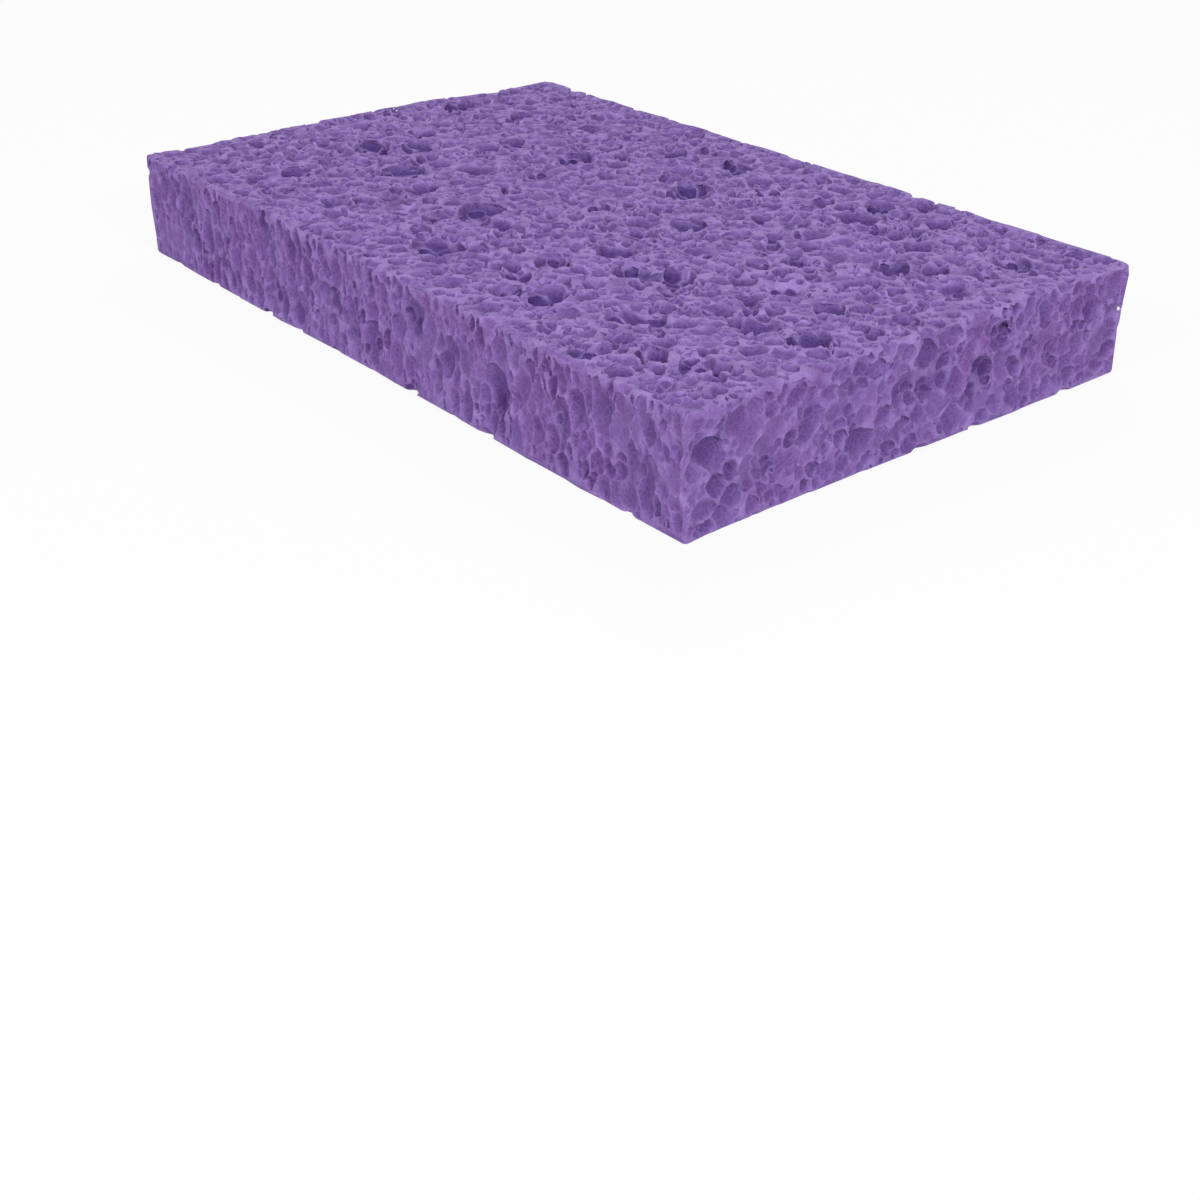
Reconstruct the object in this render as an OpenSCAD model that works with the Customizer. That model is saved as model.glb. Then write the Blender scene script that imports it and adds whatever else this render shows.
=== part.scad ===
// Cellulose sponge for cleaning: one block of cast foam, cut square with a blade.
// The cut opens the foam's bubbles on all six faces, and they bite into the edges where it crosses one.
// The block lies flat: X runs along it, Y across it, and Z = 0 is the face it lies on.

/* [Block] */
// Length of the block
length = 120; // [80:1:150]
// Width of the block
width = 75; // [50:1:100]
// Thickness of the block
thickness = 15; // [12:0.5:30]

/* [Bubbles] */
// Radius of the widest bubbles
bubble_r = 3.2; // [2.4:0.1:3.6]
// Distance from one wide bubble to the next
bubble_pitch = 12.5; // [12:0.5:20]
// How far a bubble's middle may lie above or below the cut, as a share of its radius
bubble_sink = 0.35; // [0:0.05:0.5]

/* [Pores] */
// Radius of the widest pores between the bubbles
pore_r = 2.2; // [1.4:0.1:2.4]
// Distance from one pore to the next
pore_pitch = 5; // [5:0.1:9]
// Radius of the widest pinholes between the pores
pinhole_r = 1.3; // [0.8:0.1:1.5]
// Distance from one pinhole to the next
pinhole_pitch = 4.4; // [4.4:0.1:8]
// Depth of a pore or pinhole, as a share of its radius
pore_depth = 0.85; // [0.5:0.05:0.85]
// Radius of the floor of a pore or pinhole, as a share of its radius
pore_floor = 0.5; // [0.2:0.05:0.5]

/* [Edges] */
// Radius of the widest bites in the edges
bite_r = 1.7; // [1:0.1:2]
// Distance from one bite to the next
bite_pitch = 8.5; // [8:0.5:14]
// How far a bite's middle may lie beside the edge, as a share of its radius
bite_shift = 0.4; // [0:0.05:0.5]

/* [Foam] */
// Thinnest wall left between two openings
wall = 0.3; // [0.2:0.05:0.8]
// Any other number gives another sponge of the same kind
seed = 7; // [1:1:99]

/* [Hidden] */
purple = "#7f65a2";
round_fn = 24;

// Radii are drawn from this share of the widest up to the widest, and never squeezed below the least share.
small_share = 0.6;
least_share = 0.5;
// Holes and bites are shaken out of line by up to this share of their pitch.
hole_jitter = 0.3;
bite_jitter = 0.2;
// Bites keep this many radii away from the corners of the block.
corner_gap = 2.5;

half = [length, width, thickness] / 2;

function unit(k) = [for (i = [0 : 2]) i == k % 3 ? 1 : 0];

// A face is [its outward direction, the direction along it, the direction across it].
FACES = [for (k = [0 : 2], side = [-1, 1]) [side * unit(k), unit(k + 1), side * unit(k + 2)]];

// An edge is [its outward direction, the direction it runs in, its middle].
EDGES = [
    for (k = [0 : 2], s = [-1, 1], t = [-1, 1])
        let (beside = s * unit(k + 1), above = t * unit(k + 2))
            [(beside + above) / sqrt(2), unit(k), reach(beside) * beside + reach(above) * above]
];

// The three kinds of hole, widest first, as [widest radius, pitch, sink]
KINDS = [[bubble_r, bubble_pitch, bubble_sink], [pore_r, pore_pitch, 0], [pinhole_r, pinhole_pitch, 0]];
BUBBLE = 0;

// Half the block's size in one direction
function reach(direction) = abs(half * direction);

// The n-th random number for the place [i, j] of one surface, from lo to hi: the fraction of a large sine
function pick(lo, hi, surface, i, j, n) =
    let (x = 43758.5453 * sin(1237.31 * i + 4171.93 * j + 7919.17 * surface + 2741.57 * n + 613.73 * seed))
        lo + (hi - lo) * (x - floor(x));

// A bite is [its middle, its radius, its outward direction, the direction of its edge].
BITES = [
    for (e = [0 : len(EDGES) - 1])
        let (
            out = EDGES[e][0],
            run = EDGES[e][1],
            count = floor((reach(run) - corner_gap * bite_r) / bite_pitch - bite_jitter)
        )
            for (i = [-count : count])
                let (
                    r = bite_r * pick(small_share, 1, e, i, 0, 0),
                    along = bite_pitch * (i + pick(-bite_jitter, bite_jitter, e, i, 0, 1)),
                    aside = [for (n = [2 : 4]) r * pick(-bite_shift, bite_shift, e, i, 0, n)]
                )
                    [EDGES[e][2] + along * run + aside, r, out, run]
];

// The bites that open in one face, as [x, y, radius] in the face's own plane
function bites_in(face) = [
    for (b = BITES)
        let (middle = b[0], r = b[1])
            if (abs(middle * face[0] - reach(face[0])) < r) [middle * face[1], middle * face[2], r]
];

// The holes of one kind that a face would like: [x, y, radius, sink, kind], on a shaken lattice
function wanted(f, kind) =
    let (
        widest = KINDS[kind][0],
        pitch = KINDS[kind][1],
        surface = len(EDGES) + len(FACES) * kind + f,
        columns = ceil(reach(FACES[f][1]) / pitch),
        rows = ceil(reach(FACES[f][2]) / pitch)
    )
        [
            for (i = [-columns : columns], j = [-rows : rows])
                [
                    pitch * (i + (j % 2 == 0 ? 0 : 0.5) + pick(-hole_jitter, hole_jitter, surface, i, j, 0)),
                    pitch * (j + pick(-hole_jitter, hole_jitter, surface, i, j, 1)),
                    widest * pick(small_share, 1, surface, i, j, 2),
                    pick(-1, 1, surface, i, j, 3) * KINDS[kind][2],
                    kind
                ]
        ];

// The widest radius that a hole at [x, y] has room for. Towards an edge it keeps to its own side of
// the mitre plane, so that the holes of two faces never meet inside the block.
function room(hole, face, placed) =
    let (rim = min(reach(face[1]) - abs(hole[0]), reach(face[2]) - abs(hole[1])))
        min(
            (rim / sqrt(2) - wall / 2) / (1 + max(hole[3], 0) / sqrt(2)),
            min([for (q = placed) norm([hole[0] - q[0], hole[1] - q[1]]) - q[2]]) - wall
        );

// Takes the wanted holes in turn: each is narrowed to its room, and dropped where that is too little.
function settle(list, face, placed, k = 0) =
    k == len(list) ? placed :
    let (
        hole = list[k],
        r = min(hole[2], room(hole, face, placed)),
        kept = r < least_share * KINDS[hole[4]][0] ? [] : [[hole[0], hole[1], r, hole[3], hole[4]]]
    )
        settle(list, face, concat(placed, kept), k + 1);

// A bowl with a flat floor, r wide at Z = 0 and flaring on above it
module bowl(r, over) {
    flare = (1 - pore_floor) / pore_depth;
    translate([0, 0, -pore_depth * r])
        cylinder(h = pore_depth * r + over, r1 = pore_floor * r, r2 = r + flare * over, $fn = round_fn);
}

// Moves its children to a place on the block's skin and turns their Z outward and their X along.
module stand(place, outward, along) {
    across = cross(outward, along);
    multmatrix([for (i = [0 : 2]) [along[i], across[i], outward[i], place[i]]]) children();
}

module open_face(f) {
    bites = bites_in(FACES[f]);
    holes = settle([for (kind = [0 : len(KINDS) - 1]) each wanted(f, kind)], FACES[f], bites);
    stand(reach(FACES[f][0]) * FACES[f][0], FACES[f][0], FACES[f][1])
        for (n = [len(bites) : len(holes) - 1])
            let (r = holes[n][2], sink = holes[n][3], kind = holes[n][4])
                translate([holes[n][0], holes[n][1], 0])
                    if (kind == BUBBLE) translate([0, 0, -sink * r]) sphere(r = r, $fn = round_fn);
                    else bowl(r, wall / 2);
}

module bitten_edges() {
    for (b = BITES) stand(b[0], b[2], b[3]) bowl(b[1], b[1]);
}

module sponge() {
    color(purple)
        translate([0, 0, thickness / 2])
            difference() {
                cube(2 * half, center = true);
                bitten_edges();
                for (f = [0 : len(FACES) - 1]) open_face(f);
            }
}

sponge();
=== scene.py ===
# %% [markdown]
# # A cellulose sponge
#
# The object is one block of cast cellulose foam, cut square with a blade. The cut opens the foam's bubbles on
# all six faces. The CAD frame gives the block's size and says where its wide bubbles and pores open. This
# lesson cuts the same openings again as soft, irregular bubbles, adds the smaller cells between them, and
# dyes the foam, with painted shade in its pores and on its sides and a painted highlight on its rims.

# %% Load the frame
import math
import random

import bmesh
import bpy
import numpy as np
from mathutils import Matrix, Vector, noise


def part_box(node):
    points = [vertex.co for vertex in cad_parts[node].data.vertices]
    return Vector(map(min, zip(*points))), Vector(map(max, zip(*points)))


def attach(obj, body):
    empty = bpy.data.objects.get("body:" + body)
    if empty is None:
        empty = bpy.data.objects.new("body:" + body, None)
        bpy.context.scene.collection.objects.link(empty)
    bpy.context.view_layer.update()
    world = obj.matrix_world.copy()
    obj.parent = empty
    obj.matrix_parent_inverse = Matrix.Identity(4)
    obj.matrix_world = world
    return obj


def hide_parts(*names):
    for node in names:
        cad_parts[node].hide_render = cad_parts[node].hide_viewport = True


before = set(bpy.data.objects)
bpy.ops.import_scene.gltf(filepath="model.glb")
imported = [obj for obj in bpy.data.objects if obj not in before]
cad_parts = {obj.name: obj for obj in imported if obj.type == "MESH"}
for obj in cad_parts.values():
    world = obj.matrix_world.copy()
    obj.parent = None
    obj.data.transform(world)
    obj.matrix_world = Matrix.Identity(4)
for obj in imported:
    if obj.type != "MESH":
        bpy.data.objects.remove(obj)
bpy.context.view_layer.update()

MM_PER_M = 1000

low, high = (Vector(corner) * MM_PER_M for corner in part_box("sponge"))
size = high - low
half = size / 2
centre = (low + high) / 2
print("block of", [round(side, 2) for side in size], "mm")

# %% [markdown]
# ## Camera
#
# A photograph's camera can be found again from the corners of a box whose size is known. Here that gave a
# lens of about 51 mm on a 36 mm sensor, a little right of the near corner and 30 degrees above the table.
# It comes first, so that every later choice can be looked at from the photographer's place.

# %% Place the camera
EYE = Vector((175.6, -144.42, 85.62))
AZIMUTH = math.radians(50.38)
ELEVATION = math.radians(30.4)
ROLL = math.radians(0.42)

camera_data = bpy.data.cameras.new("camera")
camera_data.lens = 50.94
camera_data.sensor_width = 36
camera = bpy.data.objects.new("camera", camera_data)
bpy.context.scene.collection.objects.link(camera)
turn = Matrix.Rotation(AZIMUTH, 3, "Z") @ Matrix.Rotation(math.pi / 2 - ELEVATION, 3, "X")
turn = turn @ Matrix.Rotation(ROLL, 3, "Z")
camera.matrix_world = Matrix.LocRotScale(EYE / MM_PER_M, turn.to_quaternion(), None)
bpy.context.scene.camera = camera
print("the camera stands", round((EYE - centre).length), "mm from the block's middle")

# %% [markdown]
# ## Where the bubbles open
#
# A blade cuts the foam's bubbles at any height, so openings of all widths lie side by side, and where it
# crosses a bubble at an edge, the edge gets a bite. New places could be drawn here, but then the foam that
# is seen and the solid that is touched would disagree. The part's source draws its places with a rule: a
# shaken lattice on each face, widest kind first, each opening narrowed until it keeps a thin wall to its
# neighbours. Repeating that rule with the same numbers puts each opening exactly where the solid has it.

# %% The draw that both models share
SEED = 7


def pick(lo, hi, surface, i, j, n):
    """The n-th random number for the place [i, j] of one surface, from lo to hi."""
    degrees = 1237.31 * i + 4171.93 * j + 7919.17 * surface + 2741.57 * n + 613.73 * SEED
    x = 43758.5453 * math.sin(math.radians(degrees % 360))
    return lo + (hi - lo) * (x - math.floor(x))


def unit(k):
    return Vector([1.0 if axis == k % 3 else 0.0 for axis in range(3)])


def reach(direction):
    """Half the block's size in one direction."""
    return abs(half.dot(direction))


# A face is (its outward direction, the direction along it, the direction across it).
FACES = [(side * unit(k), unit(k + 1), side * unit(k + 2)) for k in range(3) for side in (-1, 1)]
# An edge is (the two outward directions between which it lies, the direction it runs in).
EDGES = [
    (s * unit(k + 1), t * unit(k + 2), unit(k)) for k in range(3) for s in (-1, 1) for t in (-1, 1)
]
print(len(FACES), "faces and", len(EDGES), "edges")

# %% Bites along the edges
BITE_R = 1.7
BITE_PITCH = 8.5
# Bites are shaken out of line by this share of their pitch, and aside by this share of their radius.
BITE_JITTER = 0.2
BITE_SHIFT = 0.4
# They keep this many radii away from the corners.
CORNER_GAP = 2.5
# All radii are drawn from this share of the widest up to the widest.
SMALL_SHARE = 0.6


def bites_on(e):
    """Middle, radius and outward direction of each bite in one edge."""
    beside, above, run = EDGES[e]
    middle = beside * reach(beside) + above * reach(above)
    count = math.floor((reach(run) - CORNER_GAP * BITE_R) / BITE_PITCH - BITE_JITTER)
    for i in range(-count, count + 1):
        r = BITE_R * pick(SMALL_SHARE, 1, e, i, 0, 0)
        along = BITE_PITCH * (i + pick(-BITE_JITTER, BITE_JITTER, e, i, 0, 1))
        aside = Vector([r * pick(-BITE_SHIFT, BITE_SHIFT, e, i, 0, n) for n in (2, 3, 4)])
        yield middle + along * run + aside, r, (beside + above).normalized()


BITES = [bite for e in range(len(EDGES)) for bite in bites_on(e)]
print(len(BITES), "bites in the edges")

# %% Openings on the faces
# Wide bubbles, pores and pinholes, each as (widest radius, pitch, sink)
KINDS = [(3.2, 12.5, 0.35), (2.2, 5.0, 0), (1.3, 4.4, 0)]
WIDE, BITE = 0, -1
JITTER = 0.3
WALL = 0.3
# An opening that has no room for this share of its kind's widest radius is dropped.
LEAST_SHARE = 0.5


def wanted(f, kind):
    """The openings of one kind that a face would like."""
    widest, pitch, sink = KINDS[kind]
    surface = len(EDGES) + len(FACES) * kind + f
    columns = math.ceil(reach(FACES[f][1]) / pitch)
    rows = math.ceil(reach(FACES[f][2]) / pitch)
    for i in range(-columns, columns + 1):
        for j in range(-rows, rows + 1):
            x = pitch * (i + (0 if j % 2 == 0 else 0.5) + pick(-JITTER, JITTER, surface, i, j, 0))
            y = pitch * (j + pick(-JITTER, JITTER, surface, i, j, 1))
            r = widest * pick(SMALL_SHARE, 1, surface, i, j, 2)
            yield x, y, r, pick(-1, 1, surface, i, j, 3) * sink


def openings(f):
    """The openings of one face as rows of x, y, radius, sink and kind, in the face's own plane."""
    out, along, across = FACES[f]
    placed = np.array(
        [
            (middle.dot(along), middle.dot(across), r, 0, BITE)
            for middle, r, _ in BITES
            if abs(middle.dot(out) - reach(out)) < r
        ]
    )
    for kind, (widest, _, _) in enumerate(KINDS):
        for x, y, r, sink in wanted(f, kind):
            rim = min(reach(along) - abs(x), reach(across) - abs(y))
            room = (rim / math.sqrt(2) - WALL / 2) / (1 + max(sink, 0) / math.sqrt(2))
            if room >= LEAST_SHARE * widest:
                gaps = np.hypot(placed[:, 0] - x, placed[:, 1] - y) - placed[:, 2]
                room = min(room, gaps.min() - WALL)
            if room >= LEAST_SHARE * widest:
                placed = np.vstack([placed, (x, y, min(r, room), sink, kind)])
    return placed.tolist()


opened = [openings(f) for f in range(len(FACES))]
for kind in range(len(KINDS)):
    print("kind", kind, "opens at", [sum(row[4] == kind for row in rows) for rows in opened])

# %% [markdown]
# ## Bubbles that aren't round
#
# The holes in such foam are left by crystals and gas that stood in the paste while it set, so none is a true
# ball. A displacement over the finished block could only push its surface in and out, but a bubble also
# undercuts its rim. So each one is a body of its own, which is cut out later: a small ball that is squashed
# and gets a few soft lumps from noise. A small bubble needs fewer faces than a wide one, so there is a
# template ball for each range of radii.

# %% Template balls
# Each step is (least radius of the bubbles that use it, segments, rings).
BALL_STEPS = [(2.0, 16, 9), (1.2, 11, 6), (0.8, 9, 5), (0.0, 7, 4)]


def ball(segments, rings):
    """A ball of radius 1 made of triangles."""
    bm = bmesh.new()
    bmesh.ops.create_uvsphere(bm, u_segments=segments, v_segments=rings, radius=1)
    bmesh.ops.triangulate(bm, faces=bm.faces)
    mesh = bpy.data.meshes.new("ball")
    bm.to_mesh(mesh)
    bm.free()
    return mesh


BALLS = [(least, ball(segments, rings)) for least, segments, rings in BALL_STEPS]
ROUND_POINTS = {mesh: [v.co.copy() for v in mesh.vertices] for _, mesh in BALLS}
print("faces of the template balls:", [len(mesh.polygons) for _, mesh in BALLS])

# %% One lumpy bubble
# The draws for the bubbles come from one seeded source, so each run makes the same foam.
draw = random.Random(SEED)
SQUASH = [(0.8, 1.1), (0.9, 1.15)]
LUMPS = 0.3
LUMP_SIZE = 1.1
# The noise is read at a far place of its own for each bubble.
NOISE_SPAN = 50
# The paste is pressed flat while it sets, which leaves upright, slightly narrow bubbles on the long sides.
LONG_SIDE_STRETCH = 1.28
LONG_SIDE_GRAIN = Matrix.Diagonal((1 / LONG_SIDE_STRETCH, 1.0, LONG_SIDE_STRETCH))


def upright(outward):
    """Turns Z to the outward direction of a face or an edge."""
    return outward.to_track_quat("Z", "Y").to_matrix()


def bubble(middle, r, outward, depth):
    """A ball with lumps, depth times as deep as wide: (its middle, its reach, its template, its points)."""
    template = next(mesh for least, mesh in BALLS if r >= least)
    spin = Matrix.Rotation(draw.uniform(0, math.tau), 3, "Z")
    squash = Matrix.Diagonal((*[draw.uniform(*shares) for shares in SQUASH], depth))
    shape = upright(outward) @ spin @ squash
    if abs(outward.y) > 0.9:
        shape = LONG_SIDE_GRAIN @ shape
    salt = Vector([draw.uniform(-NOISE_SPAN, NOISE_SPAN) for _ in range(3)])
    points = []
    for p in ROUND_POINTS[template]:
        lump = 1 + LUMPS * noise.noise(p * LUMP_SIZE + salt)
        points.append(middle + shape @ (p * r * lump))
    far = max((p - middle).length for p in points)
    return middle, far, template, points


print("lumps change a bubble's radius by up to", LUMPS, "of it")

# %% [markdown]
# ## Filling the openings
#
# Every opening of the solid gets its bubble. The wide ones are shallow for their width, the pinholes nearly
# round, and all are shallower on the four sides, which look calmer than the large faces. A wide opening is
# rarely one clean bubble: it has a lobe or two at its rim, and its wall is dented where other bubbles
# pressed on it.

# %% Lobes and dents
LOBE_SHIFT = (0.5, 0.75)
LOBE_SHARE = (0.4, 0.7)
DENTS = (3, 4, 5)
DENT_SHARE = (0.3, 0.5)
DENT_LEAN = (0.2, 0.75)
DENT_RISE = 0.45
DENT_DEPTH = 0.8


def sideways(outward):
    """A random direction in the plane that outward stands on."""
    turned = Matrix.Rotation(draw.uniform(0, math.tau), 3, "Z")
    return (upright(outward) @ turned).col[0]


def lobe(middle, r, outward, depth):
    """A smaller bubble that breaks into the rim of another."""
    place = middle + sideways(outward) * r * draw.uniform(*LOBE_SHIFT)
    return bubble(place, r * draw.uniform(*LOBE_SHARE), outward, depth)


def dents(middle, r, outward, depth):
    """Shallow dents in the wall of a wide bubble, where its neighbours pressed on it."""
    for _ in range(draw.choice(DENTS)):
        small = r * draw.uniform(*DENT_SHARE)
        lean = draw.uniform(*DENT_LEAN)
        wall = middle + sideways(outward) * lean * r - outward * math.sqrt(1 - lean**2) * depth * r
        yield bubble(wall + outward * DENT_RISE * small, small, outward, DENT_DEPTH)


print("a wide bubble has", min(DENTS), "to", max(DENTS), "dents")

# %% Make the bubbles
# Least and greatest depth of each kind, as shares of its radius
KIND_DEPTH = [(0.4, 0.6), (0.4, 0.8), (0.7, 1.1)]
SIDE_DEPTH = 0.68
BITE_DEPTH = 0.5
# A narrow opening's middle lies at the cut in the solid, and a little above or below it here.
NARROW_SINK = (-0.25, 0.1)
OPENING_SWELL = 1.1
# A bubble has one lobe for each of these in its radius.
LOBE_FROM = 1.1
DENTS_FROM = 1.8

bubbles = []
for f, rows in enumerate(opened):
    out, along, across = FACES[f]
    for x, y, r, sink, kind in rows:
        if kind == BITE:
            continue
        depth = draw.uniform(*KIND_DEPTH[int(kind)]) * (1 if out.z else SIDE_DEPTH)
        if kind != WIDE:
            sink = draw.uniform(*NARROW_SINK)
        middle = out * (reach(out) - sink * depth * r) + x * along + y * across
        bubbles.append(bubble(middle, r * OPENING_SWELL, out, depth))
        for _ in range(math.floor(r / LOBE_FROM)):
            bubbles.append(lobe(middle, r, out, depth))
        if r > DENTS_FROM:
            bubbles.extend(dents(middle, r * OPENING_SWELL, out, depth))
for middle, r, out in BITES:
    bubbles.append(bubble(middle, r, out, BITE_DEPTH))
print(len(bubbles), "bubbles")

# %% [markdown]
# ## Cells between the bubbles
#
# The foam between the bubbles is full of smaller cells, and the blade opens those too. They could be a bump
# in the material, but a bump gives no rim against the light. So each is cut as a shallow dish. Neighbouring
# dishes overlap, and what is left standing between them is a net of thin ridges a little below the saw cut,
# which is what makes a sponge look like one. The large faces have many narrow cells, and the sides have wide,
# flat ones with narrow ones between them. Slow noise makes the cells deeper in some patches than in others.

# %% Sizes of the small cells
# Each size is (pitch, least radius, widest radius, least depth, greatest depth), with depths as shares of
# the radius.
SIDE_CELLS = [(3.6, 1.3, 2.2, 0.5, 0.8), (1.9, 0.7, 1.4, 0.65, 1.15), (1.15, 0.36, 0.75, 0.75, 1.25)]
LARGE_FACE_CELLS = [(1.9, 0.55, 1.3, 0.65, 1.1), (1.1, 0.32, 0.7, 0.8, 1.3)]
# How far a cell may lie over its neighbours, as a share of its radius
SIDE_OVERLAP = 0.6
LARGE_FACE_OVERLAP = 0.35
# Width of the patches, and how much deeper or flatter their cells are
PATCH_WIDTH = 5.0
SIDE_PATCHINESS = 1.1
LARGE_FACE_PATCHINESS = 0.7
# The face that the block lies on is never seen, so it has fewer cells, and none near its rim.
UNDERSIDE = 4
UNDERSIDE_PITCH = 1.35
UNDERSIDE_RIM = 0.4
print("sizes of cells:", len(SIDE_CELLS), "on the sides,", len(LARGE_FACE_CELLS), "on the large faces")

# %% Make the small cells
CELL_JITTER = 0.45
CELL_RISE = 0.15
CELL_SWELL = 1.15
# Cells may reach into a wide bubble's opening from this share of its radius on.
WIDE_SHARE = 0.8


def small_cells(f):
    """Cells in the room that the openings leave: the wider ones first, then the narrow ones."""
    out, along, across = FACES[f]
    large = bool(out.z)
    sizes = LARGE_FACE_CELLS if large else SIDE_CELLS
    overlap = LARGE_FACE_OVERLAP if large else SIDE_OVERLAP
    patchiness = LARGE_FACE_PATCHINESS if large else SIDE_PATCHINESS
    stretch = LONG_SIDE_STRETCH if out.y else 1
    spread, margin = (UNDERSIDE_PITCH, UNDERSIDE_RIM) if f == UNDERSIDE else (1, 0)
    spots = np.array([(x, y, r * (WIDE_SHARE if kind == WIDE else 1)) for x, y, r, _, kind in opened[f]])
    for pitch, least, most, shallow, deep in sizes:
        pitch *= spread
        columns = math.ceil(reach(along) / pitch)
        rows = math.ceil(reach(across) / pitch)
        for i in range(-columns, columns + 1):
            for j in range(-rows, rows + 1):
                x = pitch * (i + (j % 2) / 2 + draw.uniform(-CELL_JITTER, CELL_JITTER))
                y = pitch * (j + draw.uniform(-CELL_JITTER, CELL_JITTER))
                r = draw.uniform(least, most)
                rim = min((reach(along) - abs(x)) / stretch, reach(across) - abs(y))
                gap = (np.hypot(spots[:, 0] - x, spots[:, 1] - y) - spots[:, 2]).min()
                r = min(r, gap + overlap * r)
                swollen = min(r * CELL_SWELL, rim - margin)
                if r >= least and swollen >= least:
                    spots = np.vstack([spots, (x, y, r)])
                    place = out * reach(out) + x * along + y * across
                    patch = 1 + patchiness * noise.noise(place / PATCH_WIDTH)
                    depth = draw.uniform(shallow, deep) * patch * (1 if large else SIDE_DEPTH)
                    yield bubble(place + out * CELL_RISE * depth * r, swollen, out, depth)


openings_only = len(bubbles)
for f in range(len(FACES)):
    bubbles.extend(small_cells(f))
print(len(bubbles) - openings_only, "small cells")

# %% [markdown]
# ## Cutting
#
# The block is sawn and stamped out of a big cast loaf: a cube with its edges worn a little round. A Boolean
# modifier takes a cutter that doesn't cross itself, so the bubbles are sorted into groups of bubbles that
# stay clear of each other, and each group is one cutter. The Manifold solver is the quick one for closed
# meshes like these. All of this is done in millimetres around the block's middle.

# %% Make the block
WORN_EDGE = 0.6


def as_object(bm, name):
    mesh = bpy.data.meshes.new(name)
    bm.to_mesh(mesh)
    bm.free()
    piece = bpy.data.objects.new(name, mesh)
    bpy.context.scene.collection.objects.link(piece)
    return piece


bm = bmesh.new()
bmesh.ops.create_cube(bm, size=1)
bmesh.ops.scale(bm, vec=size, verts=bm.verts)
bmesh.ops.bevel(
    bm, geom=bm.edges[:], offset=WORN_EDGE, segments=2, profile=0.5, affect="EDGES", material=-1
)
bmesh.ops.triangulate(bm, faces=bm.faces)
block = as_object(bm, "block")
print("the block has", len(block.data.polygons), "faces before the cut")

# %% Sort the bubbles into cutters
# Bubbles are looked up in boxes of this width, and compared with those up to two boxes away.
BOX = 4.0
BOXES_AROUND = range(-2, 3)


def sort_apart(shapes):
    """Groups of bubbles of which no two touch."""
    in_box, group_of, groups = {}, {}, []
    for n, (middle, far, _, _) in enumerate(shapes):
        box = tuple(math.floor(c / BOX) for c in middle)
        around = [
            m
            for a in BOXES_AROUND
            for b in BOXES_AROUND
            for c in BOXES_AROUND
            for m in in_box.get((box[0] + a, box[1] + b, box[2] + c), ())
        ]
        taken = {group_of[m] for m in around if (shapes[m][0] - middle).length < shapes[m][1] + far}
        group = next(g for g in range(len(groups) + 1) if g not in taken)
        if group == len(groups):
            groups.append([])
        groups[group].append(n)
        group_of[n] = group
        in_box.setdefault(box, []).append(n)
    return groups


def cutter(shapes, name):
    """One mesh of bubbles: each is a copy of its template with the points moved."""
    bm = bmesh.new()
    for _, _, template, points in shapes:
        mesh = template.copy()
        mesh.vertices.foreach_set("co", [c for p in points for c in p])
        bm.from_mesh(mesh)
        bpy.data.meshes.remove(mesh)
    return as_object(bm, name)


cutters = [
    cutter([bubbles[n] for n in group], f"cutter_{g}") for g, group in enumerate(sort_apart(bubbles))
]
print("faces of the cutters:", [len(c.data.polygons) for c in cutters])

# %% Cut the block
for c in cutters:
    cut = block.modifiers.new(c.name, "BOOLEAN")
    cut.object = c
    cut.operation = "DIFFERENCE"
    cut.solver = "MANIFOLD"
seen = block.evaluated_get(bpy.context.evaluated_depsgraph_get())
cut_mesh = bpy.data.meshes.new_from_object(seen)
for used in [*cutters, block]:
    bpy.data.objects.remove(used)
print("the cut left", len(cut_mesh.polygons), "faces")

# %% [markdown]
# ## The same mesh on each run
#
# The solver works in several threads at once, and hands over its points and faces in another order on each
# run. That can't be seen, but the thinning that comes next goes through them in their order, so it would
# leave a slightly different sponge each time. Sorting the points by where they lie, and the faces by their
# points, makes each run give the same sponge.

# %% Put the cut mesh in order
def in_order(mesh):
    """A copy of a mesh whose points and faces stand in a fixed order, each face from its first point on."""
    places = [tuple(v.co) for v in mesh.vertices]
    order = sorted(range(len(places)), key=places.__getitem__)
    rank = {old: new for new, old in enumerate(order)}
    faces = []
    for face in mesh.polygons:
        corners = [rank[n] for n in face.vertices]
        first = corners.index(min(corners))
        faces.append(corners[first:] + corners[:first])
    ordered = bpy.data.meshes.new("ordered")
    ordered.from_pydata([places[n] for n in order], [], sorted(faces))
    return ordered


cut_mesh = in_order(cut_mesh)
print("the first point in order lies at", [round(c, 2) for c in cut_mesh.vertices[0].co], "mm")

# %% [markdown]
# ## Thinning the mesh
#
# Where bubbles meet all around a bit of foam, the cut sets it free as a crumb that hangs in the air. The
# largest connected body is the sponge, and the rest is dropped. The cut leaves far more triangles than show,
# so a Decimate modifier merges the flattest ones until the mesh fits its budget. That can fold a thin ridge
# onto itself, so edges that don't join exactly two faces are closed up afterwards.

# %% Drop the crumbs and thin the mesh
TRIANGLES = 196000


def drop_crumbs(bm):
    """Keeps only the largest connected body."""
    left, bodies = set(bm.verts), []
    while left:
        front = [left.pop()]
        body = list(front)
        while front:
            found = {e.other_vert(v) for v in front for e in v.link_edges} & left
            left -= found
            front = list(found)
            body += front
        bodies.append(body)
    kept = set(max(bodies, key=len))
    crumbs = [v for v in bm.verts if v not in kept]
    bmesh.ops.delete(bm, geom=crumbs, context="VERTS")
    print(len(bodies) - 1, "crumbs dropped")


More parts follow.
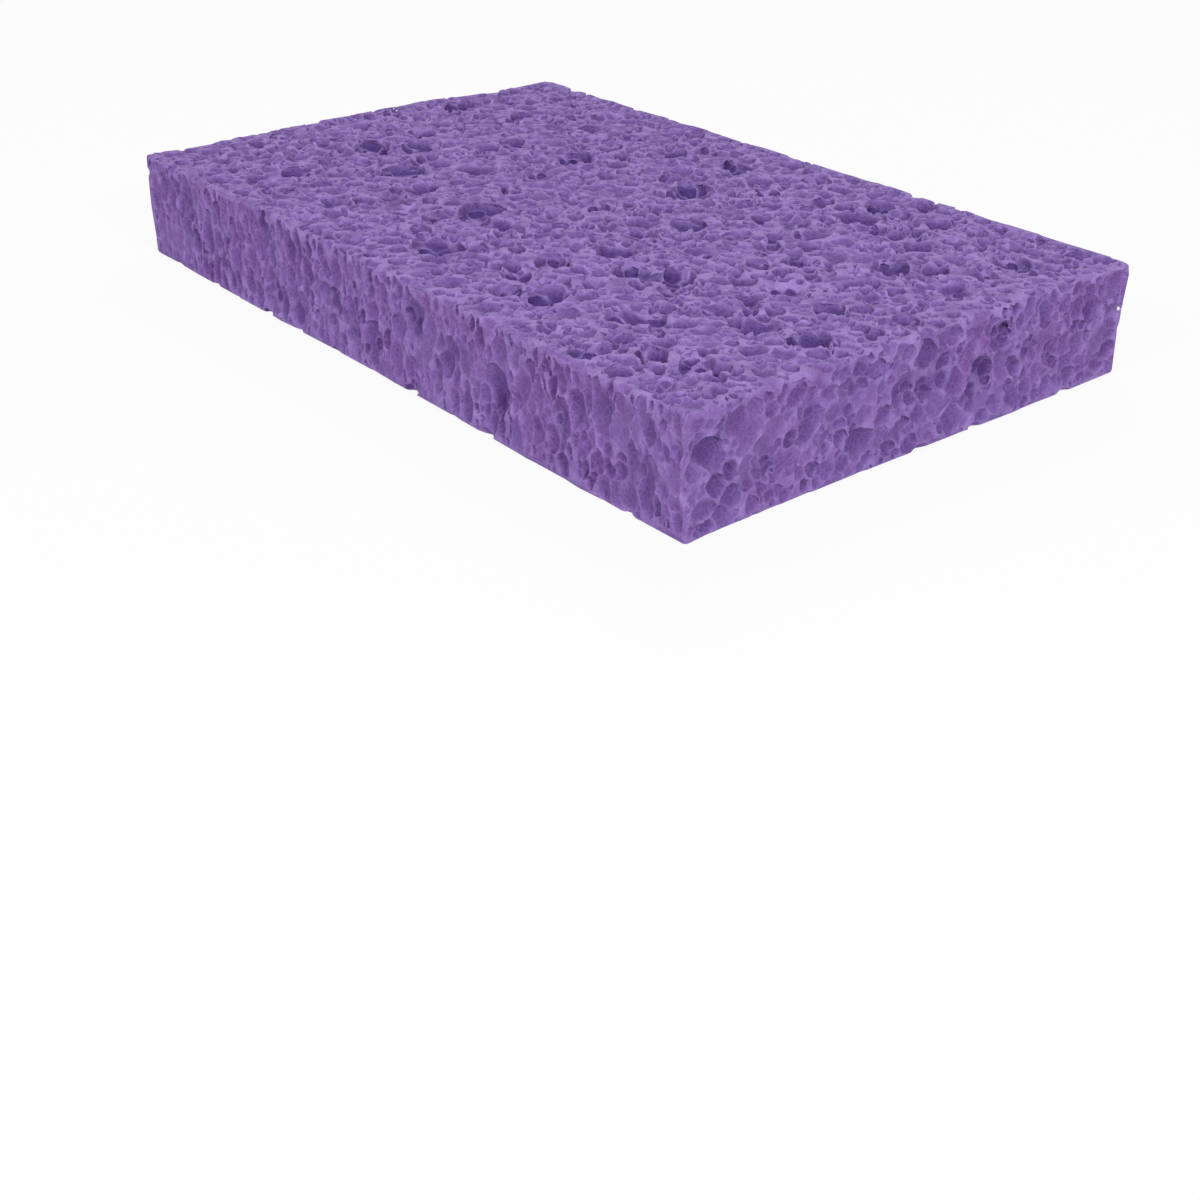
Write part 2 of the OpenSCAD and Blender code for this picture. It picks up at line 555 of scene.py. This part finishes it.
bm = bmesh.new()
bm.from_mesh(cut_mesh)
drop_crumbs(bm)
bmesh.ops.triangulate(bm, faces=bm.faces)
sponge = as_object(bm, "sponge_foam")
print("before thinning:", len(sponge.data.polygons), "triangles")
thin = sponge.modifiers.new("thin", "DECIMATE")
thin.ratio = min(1, TRIANGLES / len(sponge.data.polygons))
seen = sponge.evaluated_get(bpy.context.evaluated_depsgraph_get())
thinned = bpy.data.meshes.new_from_object(seen)
sponge.modifiers.clear()
print("after thinning:", len(thinned.polygons), "triangles")

# %% Close the folds
bm = bmesh.new()
bm.from_mesh(thinned)
bmesh.ops.triangulate(bm, faces=bm.faces)
bmesh.ops.collapse(bm, edges=[e for e in bm.edges if len(e.link_faces) != 2])
bmesh.ops.delete(bm, geom=[e for e in bm.edges if not e.link_faces], context="EDGES")
bm.normal_update()
print("open edges:", sum(len(e.link_faces) != 2 for e in bm.edges))

# %% [markdown]
# ## Depth, side and rim
#
# The colour gets painted shade at the bottom of the pores, a painted highlight on thin rims, and painted
# shade that makes the four sides darker and redder than the large faces. A material can't measure that by
# itself, so each point keeps three numbers, which the dye reads as attributes. They are measured while the
# block is still straight.

# %% Mark the points
# A turn between two faces starts to count as a rim at half this angle, and counts fully at one and a half
# times this angle.
RIM_ANGLE = math.radians(30)
# Width of the strip at an edge over which a large face turns into a side
SIDE_STRIP = 2.0


def depth_of(p):
    """How many millimetres a point lies below the nearest face of the block."""
    return min(half[axis] - abs(p[axis]) for axis in range(3))


def side_of(p):
    """From 0 on the two large faces to 1 on the four sides."""
    from_side = min(half.x - abs(p.x), half.y - abs(p.y))
    return min(1, max(0, (half.z - abs(p.z) - from_side) / SIDE_STRIP + 0.5))


def rim_of(v):
    """From 0 on a smooth floor to 1 on a sharp rim."""
    turns = [e.calc_face_angle_signed(0) for e in v.link_edges]
    return min(1, max(0, max(turns) / RIM_ANGLE - 0.5))


depth_layer = bm.verts.layers.float.new("depth")
side_layer = bm.verts.layers.float.new("side")
rim_layer = bm.verts.layers.float.new("rim")
for v in bm.verts:
    v.co.z = max(v.co.z, -half.z)
    v[depth_layer] = depth_of(v.co)
    v[side_layer] = side_of(v.co)
    v[rim_layer] = rim_of(v)
print("rim points:", sum(v[rim_layer] > 0.5 for v in bm.verts), "of", len(bm.verts))

# %% [markdown]
# ## A block that isn't quite straight
#
# Foam dries unevenly, so its faces are never quite flat and its pores never quite smooth. A cloth or soft
# body simulation would be slow on a mesh this fine, and noise does it as well: a slow warp of the whole
# block, a wave across each face, and a fine crumple. Rims also lean a little in or out. Near the table the
# shift fades upwards and downwards, so that the sponge still lies flat.

# %% Warp the block
# Each layer of noise is (how far it shifts a point, the width of its waves).
LAYERS = [(0.35, 22), (0.2, 5), (0.12, 1.4)]
# Rims lean out or in by up to the first distance, in so many waves to a millimetre.
LIP = 0.12
LIP_WAVES = 0.9
# Height over the table below which nothing moves up or down at its full measure
STEADY_UNDER = 2.0

# Without a seed of its own, noise_vector starts from the clock and warps each run in another way.
noise.seed_set(SEED)
for v in bm.verts:
    shift = Vector((0, 0, 0))
    for distance, width in LAYERS:
        shift += distance * noise.noise_vector(v.co / width)
    shift += LIP * v[rim_layer] * noise.noise(v.co * LIP_WAVES) * v.normal
    shift.z *= min(1, (v.co.z + half.z) / STEADY_UNDER)
    v.co += shift
bmesh.ops.translate(bm, vec=centre, verts=bm.verts)
bmesh.ops.scale(bm, vec=[1 / MM_PER_M] * 3, verts=bm.verts)
print("the lowest point lies at", round(min(v.co.z for v in bm.verts) * MM_PER_M, 3), "mm")
bm.to_mesh(sponge.data)
bm.free()

# %% Shade it smooth inside the pores
SHARP_FROM = math.radians(50)

for face in sponge.data.polygons:
    face.use_smooth = True
sponge.data.set_sharp_from_angle(angle=SHARP_FROM)
print("the sponge has", len(sponge.data.polygons), "triangles")

# %% [markdown]
# ## Tools for materials
#
# A node material is built from the same few moves: add a node, set it, link it. One small function does all
# three, so that the materials below read as recipes. Colours are written as the sRGB hex that an eye picks
# from a screen and turned to the linear values that the renderer counts in, and a pattern's scale is given
# by the width of one of its cells on the real object.

# %% Add nodes, turn colours, scale patterns
def linear(hex_colour):
    """An sRGB hex colour as the linear RGBA that nodes take."""
    parts = [int(hex_colour[n : n + 2], 16) / 255 for n in (1, 3, 5)]
    return (*[c / 12.92 if c <= 0.04045 else ((c + 0.055) / 1.055) ** 2.4 for c in parts], 1)


def cells_of(width):
    """The scale of a pattern on Object coordinates whose cells are that many millimetres wide."""
    return MM_PER_M / width


def add(tree, kind, links=(), **settings):
    """Adds a node. links maps its inputs to other nodes' outputs or to plain values."""
    node = tree.nodes.new(kind)
    for name, value in settings.items():
        setattr(node, name, value)
    sockets = {socket.identifier: socket for socket in node.inputs}
    for name, value in dict(links).items():
        socket = sockets[name] if name in sockets else node.inputs[name]
        if isinstance(value, bpy.types.NodeSocket):
            tree.links.new(value, socket)
        else:
            socket.default_value = value
    return node


def output(node, name):
    return next(socket for socket in node.outputs if name in (socket.identifier, socket.name))


def new_material(name):
    material = bpy.data.materials.new(name)
    material.use_nodes = True
    material.node_tree.nodes.clear()
    return material, material.node_tree


print("a pattern of cells 1 mm wide has a scale of", cells_of(1))

# %% [markdown]
# ## The finest cells
#
# The walls also hold cells that are too fine for the mesh. They could be left out, but then the foam looks
# like putty from near. A Voronoi texture's distance to the edge draws such a net of walls, and slow noise
# bends them, because no wall in foam is straight. The net is fainter at the bottom of deep pores, which is
# a smooth film.

# %% The net of the finest cells
# Width of the finest cells, and how far a wall reaches into its cell, as a share of that width
NET_CELL = 0.769
NET_WALL = 0.22
# The walls wander by up to half of the first distance, in waves as wide as the second.
NET_BEND = 0.9
NET_BEND_WIDTH = 1.43
# Between these depths the net fades to this share.
NET_FADES = (0.6, 1.6)
NET_LEAST = 0.25


def finest_cells(tree, place, depth):
    """From 0 inside the finest cells to 1 on their walls."""
    bend = add(
        tree, "ShaderNodeTexNoise", {"Vector": place, "Scale": cells_of(NET_BEND_WIDTH), "Detail": 1.0}
    )
    off_middle = add(
        tree, "ShaderNodeVectorMath", {0: bend.outputs["Color"], 1: (0.5, 0.5, 0.5)}, operation="SUBTRACT"
    )
    bent = add(
        tree,
        "ShaderNodeVectorMath",
        {0: off_middle.outputs["Vector"], 1: [NET_BEND / MM_PER_M] * 3, 2: place},
        operation="MULTIPLY_ADD",
    )
    to_wall = add(
        tree,
        "ShaderNodeTexVoronoi",
        {"Vector": bent.outputs["Vector"], "Scale": cells_of(NET_CELL)},
        feature="DISTANCE_TO_EDGE",
    )
    wall = add(
        tree,
        "ShaderNodeMapRange",
        {"Value": to_wall.outputs["Distance"], "From Max": NET_WALL, "To Min": 1.0, "To Max": 0.0},
        interpolation_type="SMOOTHSTEP",
    )
    near, far = NET_FADES
    fade = {"Value": depth, "From Min": near, "From Max": far, "To Min": 1.0, "To Max": NET_LEAST}
    fading = add(tree, "ShaderNodeMapRange", fade)
    net = {0: wall.outputs["Result"], 1: fading.outputs["Result"]}
    return add(tree, "ShaderNodeMath", net, operation="MULTIPLY").outputs[0]


print("the net's cells have a scale of", round(cells_of(NET_CELL)))

# %% [markdown]
# ## Where shade and highlight are painted on the dye
#
# The dye is in the paste, so the whole loaf has one colour, and what changes it is how light gets in and out.
# Here that light is painted into the colour: painted shade at the bottom of a pore, a painted highlight on
# thin rims, and painted shade that makes the cut sides richer in soft clouds. A painted picture would need
# the block unwrapped. The three numbers kept in the points need no unwrapping, and slow noise breaks them up,
# so that the painted shade and highlight change from patch to patch.

# %% How much of each
# Soft patches are (width, detail, the noise's values that are stretched, what they are stretched to). The
# second gives the clouds of painted shade on the sides, and the third the patches of painted highlight on
# rims.
MOTTLE = (6.25, 3.0, (0.4, 0.65), (0.0, 1.0))
SIDE_SHADE_CLOUDS = (8.0, 1.0, (0.38, 0.62), (0.15, 0.65))
RIM_HIGHLIGHT_PATCHES = (2.22, 2.0, (0.35, 0.65), (0.25, 1.0))
# Depths at which the painted shade in the pores starts and is darkest, and how much deeper that is on the
# sides
DARK_FROM = 0.15
DARKEST_AT = 1.15
SIDE_DEEPER = 0.45
# Rims get a painted highlight by this power of their sharpness, and by this share less on the sides.
RIM_POWER = 3.0
SIDE_CALM = 0.45
# The walls of the finest cells get this share of the painted highlight.
NET_HIGHLIGHT_SHARE = 0.2


def soft_patches(tree, place, width, detail, values, ends):
    """Soft noise whose middle values are stretched from one end to the other."""
    cloud = add(tree, "ShaderNodeTexNoise", {"Vector": place, "Scale": cells_of(width), "Detail": detail})
    stretch = dict(zip(("From Min", "From Max", "To Min", "To Max"), (*values, *ends)))
    return add(tree, "ShaderNodeMapRange", {"Value": cloud.outputs["Fac"], **stretch}).outputs["Result"]


def painted_pore_shade(tree, depth, side):
    """Painted shade in the pores: from 0 at the cut to 1 at the bottom of a deep pore."""
    darkest = add(tree, "ShaderNodeMath", {0: side, 1: SIDE_DEEPER, 2: DARKEST_AT}, operation="MULTIPLY_ADD")
    span = {"Value": depth, "From Min": DARK_FROM, "From Max": darkest.outputs[0]}
    return add(tree, "ShaderNodeMapRange", span).outputs["Result"]


def painted_side_shade(tree, place, side):
    """Painted shade that makes the sides darker and redder: more on the sides, in clouds, and none on the
    large faces.
    """
    share = {0: side, 1: soft_patches(tree, place, *SIDE_SHADE_CLOUDS)}
    return add(tree, "ShaderNodeMath", share, operation="MULTIPLY").outputs[0]


def painted_rim_highlight(tree, place, side, rim, net):
    """Painted highlight: sharp rims are pale, more so in some patches, and the walls of the finest cells a
    little.
    """
    pale = add(tree, "ShaderNodeMath", {0: rim, 1: RIM_POWER}, operation="POWER").outputs[0]
    calm = add(tree, "ShaderNodeMath", {0: side, 1: -SIDE_CALM, 2: 1.0}, operation="MULTIPLY_ADD")
    for share in (soft_patches(tree, place, *RIM_HIGHLIGHT_PATCHES), calm.outputs[0]):
        pale = add(tree, "ShaderNodeMath", {0: pale, 1: share}, operation="MULTIPLY").outputs[0]
    both = {0: net, 1: NET_HIGHLIGHT_SHARE, 2: pale}
    return add(tree, "ShaderNodeMath", both, operation="MULTIPLY_ADD", use_clamp=True).outputs[0]


print("darkest dye:", DARKEST_AT, "mm deep, and", round(DARKEST_AT + SIDE_DEEPER, 2), "mm on the sides")

# %% Coats of dye, painted shade and painted highlight
PLAIN_DYE = "#785c9e"
MOTTLED_DYE = "#856aac"
# Painted shade: the four sides darker and redder than the large faces
SIDE_SHADE_COLOUR = "#784a92"
# Painted shade at the bottom of the pores
PORE_SHADE_COLOUR = "#503778"
# Painted highlight on thin rims
RIM_HIGHLIGHT_COLOUR = "#a287c8"


def dye(tree, place, depth, side, rim, net):
    """The foam's colour, with painted shade and a painted highlight: each coat covers a share of the one
    before.
    """
    colour = linear(PLAIN_DYE)
    for share, coat in (
        (soft_patches(tree, place, *MOTTLE), MOTTLED_DYE),
        (painted_side_shade(tree, place, side), SIDE_SHADE_COLOUR),
        (painted_pore_shade(tree, depth, side), PORE_SHADE_COLOUR),
        (painted_rim_highlight(tree, place, side, rim, net), RIM_HIGHLIGHT_COLOUR),
    ):
        colours = {"Factor_Float": share, "A_Color": colour, "B_Color": linear(coat)}
        colour = output(add(tree, "ShaderNodeMix", colours, data_type="RGBA"), "Result_Color")
    return colour


print("plain dye in linear values:", [round(c, 3) for c in linear(PLAIN_DYE)])

# %% [markdown]
# ## Dyed cellulose foam
#
# Regenerated cellulose: wood pulp that is dissolved, mixed with dye and salt, cast in a loaf and set in a hot
# bath, where the salt leaves its holes. Dry, it is matte, with hardly any gloss, and a little light passes
# just below its skin. The finest cells and the grain of the skin are too small to be worth any triangles, so
# they are two layers of bump, the second on top of the first.

# %% The foam's material
# Height of the finest cells' walls, and width and height of the skin's grain
NET_RELIEF = 0.16
GRAIN_WIDTH = 0.4
GRAIN_RELIEF = 0.1
# How far light passes below the skin, which the radii share out to red, green and blue
GLOW_DEPTH = 0.8
GLOW_RADII = (1.0, 0.7, 1.2)


def cellulose_foam():
    material, tree = new_material("dyed_cellulose_foam")
    place = add(tree, "ShaderNodeTexCoord").outputs["Object"]
    depth, side, rim = (
        add(tree, "ShaderNodeAttribute", attribute_name=name).outputs["Fac"]
        for name in ("depth", "side", "rim")
    )
    net = finest_cells(tree, place, depth)
    grain = add(tree, "ShaderNodeTexNoise", {"Vector": place, "Scale": cells_of(GRAIN_WIDTH), "Detail": 3.0})
    relief = {}
    for height, tall in ((net, NET_RELIEF), (grain.outputs["Fac"], GRAIN_RELIEF)):
        layer = {"Height": height, "Strength": 0.5, "Distance": tall / MM_PER_M, **relief}
        relief = {"Normal": add(tree, "ShaderNodeBump", layer).outputs["Normal"]}
    foam = add(
        tree,
        "ShaderNodeBsdfPrincipled",
        {
            "Base Color": dye(tree, place, depth, side, rim, net),
            "Roughness": 0.85,
            "Specular IOR Level": 0.12,
            "Subsurface Weight": 0.06,
            "Subsurface Radius": GLOW_RADII,
            "Subsurface Scale": GLOW_DEPTH / MM_PER_M,
            **relief,
        },
    )
    add(tree, "ShaderNodeOutputMaterial", {"Surface": foam.outputs["BSDF"]})
    print("the foam's material has", len(tree.nodes), "nodes")
    return material


sponge.data.materials.append(cellulose_foam())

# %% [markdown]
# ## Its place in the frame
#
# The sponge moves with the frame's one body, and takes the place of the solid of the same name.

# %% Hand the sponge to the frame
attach(sponge, "root")
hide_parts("sponge")
print("the sponge rides on the frame and replaces its solid")

# %% [markdown]
# ## White floor
#
# The block lies on white. A floor that is lit until it looks white needs so much light that the foam turns
# pale. So floor and world show their white by themselves, to the camera and to the rays that gloss or glass
# would send on, and Light Path says which ray is asking. A tenth of the floor is still matte paint, which
# keeps the sponge's shadow.

# %% Make the floor
# Half the floor's width, in metres
FLOOR_REACH = 3
FLOOR_PAINT = (0.9, 0.9, 0.9, 1)
WHITE = (1, 1, 1, 1)
WHITE_SHARE = 0.9


def shown(tree):
    """1 for rays from the camera and for those that gloss or glass sends on, otherwise 0."""
    path = add(tree, "ShaderNodeLightPath")
    seen = path.outputs["Is Camera Ray"]
    for ray in ("Is Glossy Ray", "Is Transmission Ray"):
        seen = add(tree, "ShaderNodeMath", {0: seen, 1: path.outputs[ray]}, operation="MAXIMUM").outputs[0]
    return seen


def white_table():
    material, tree = new_material("white_table")
    paint = add(tree, "ShaderNodeBsdfDiffuse", {"Color": FLOOR_PAINT})
    white = add(tree, "ShaderNodeEmission", {"Color": WHITE, "Strength": 1.0})
    share = add(tree, "ShaderNodeMath", {0: shown(tree), 1: WHITE_SHARE}, operation="MULTIPLY")
    both = {"Fac": share.outputs[0], 1: paint.outputs[0], 2: white.outputs[0]}
    mixed = add(tree, "ShaderNodeMixShader", both)
    add(tree, "ShaderNodeOutputMaterial", {"Surface": mixed.outputs[0]})
    return material


bm = bmesh.new()
bmesh.ops.create_grid(bm, x_segments=1, y_segments=1, size=FLOOR_REACH)
bmesh.ops.translate(bm, vec=(0, 0, low.z / MM_PER_M), verts=bm.verts)
floor = as_object(bm, "floor")
floor.data.materials.append(white_table())
print("the floor lies at", round(low.z, 2), "mm")

# %% [markdown]
# ## Soft light
#
# Foam shows its relief where light grazes it. Two low square lamps stand at the left and the right of the
# camera. Each lights the side that it faces, and both graze the top, so that pores stay dark and rims catch
# the light. A weaker lamp behind keeps the back from going black. The world fills the shadows a little, and
# shows white to the camera as the floor does.

# %% Light the world
FILL = 0.3

world = bpy.data.worlds.new("studio")
bpy.context.scene.world = world
world.use_nodes = True
tree = world.node_tree
tree.nodes.clear()
fill = add(tree, "ShaderNodeBackground", {"Color": WHITE, "Strength": FILL})
white = add(tree, "ShaderNodeBackground", {"Color": WHITE, "Strength": 1.0})
mixed = add(tree, "ShaderNodeMixShader", {"Fac": shown(tree), 1: fill.outputs[0], 2: white.outputs[0]})
add(tree, "ShaderNodeOutputWorld", {"Surface": mixed.outputs[0]})
print("the world's light has a strength of", FILL)

# %% Place the lamps
# Metres from the block's middle
LAMP_DISTANCE = 0.9
# Each lamp is (name, azimuth, elevation, width in metres, watts).
LAMPS = [("left", 12, 33, 0.3, 3.2), ("right", 78, 33, 0.3, 4.0), ("back", 225, 40, 0.4, 1.8)]


def softbox(name, azimuth, elevation, width, watts):
    """A square lamp that looks at the block. Azimuth 0 is in front of it and 90 at its right."""
    turned = math.radians(azimuth)
    raised = math.radians(elevation)
    level = math.cos(raised)
    aim = Vector((math.sin(turned) * level, -math.cos(turned) * level, math.sin(raised)))
    data = bpy.data.lights.new(name, "AREA")
    data.shape = "SQUARE"
    data.size = width
    data.energy = watts
    lamp = bpy.data.objects.new(name, data)
    bpy.context.scene.collection.objects.link(lamp)
    place = centre / MM_PER_M + aim * LAMP_DISTANCE
    lamp.matrix_world = Matrix.LocRotScale(place, aim.to_track_quat("Z", "Y"), None)


for lamp in LAMPS:
    softbox(*lamp)
bpy.context.scene.view_settings.view_transform = "Standard"
print(len(LAMPS), "lamps stand", LAMP_DISTANCE, "m from the block")
